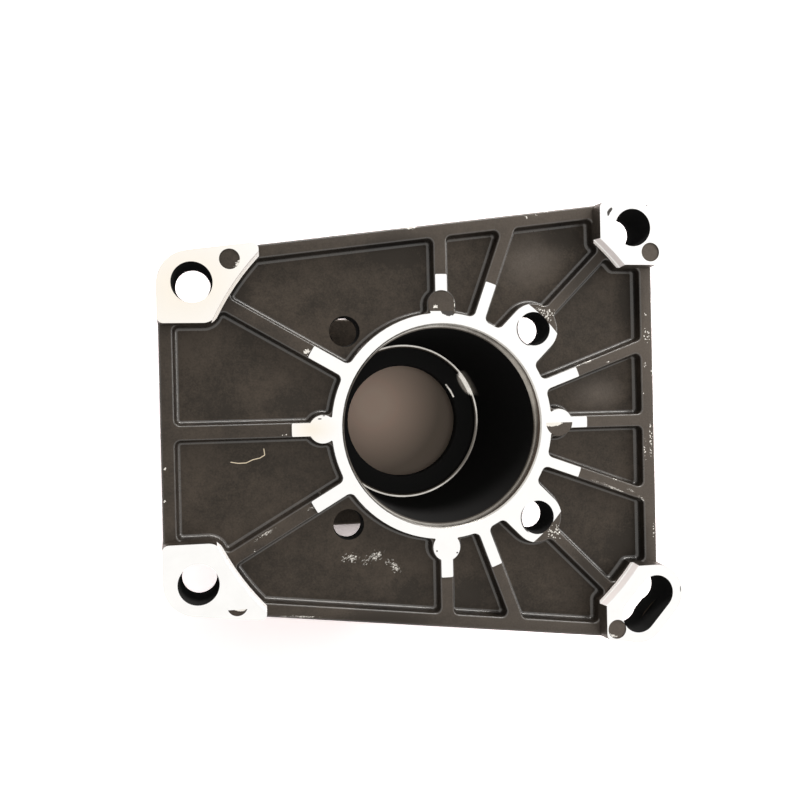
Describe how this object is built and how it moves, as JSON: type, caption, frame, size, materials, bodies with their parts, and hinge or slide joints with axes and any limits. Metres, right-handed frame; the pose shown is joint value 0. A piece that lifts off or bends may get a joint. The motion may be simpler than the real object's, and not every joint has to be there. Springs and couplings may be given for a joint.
{
  "type": "pump motor flange",
  "caption": "Die-cast adapter flange: a ribbed plate with corner ears round a deep bore, and a square rear flange, that carries a pump on a motor.",
  "frame": {"origin": "on the bore's axis, in the plane of the rear face", "axes": "+Z along the bore towards the ribbed face, +X along the plate from the wide-spaced ears to the close-spaced ones"},
  "size_m": [0.1547, 0.1353, 0.0766],
  "materials": {
    "cast_aluminium": "black-coated die-cast aluminium, satin and finely grained, with bright turned and faced areas"
  },
  "bodies": {
    "root": {"flange_casting": "cast_aluminium"}
  },
  "joints": []
}
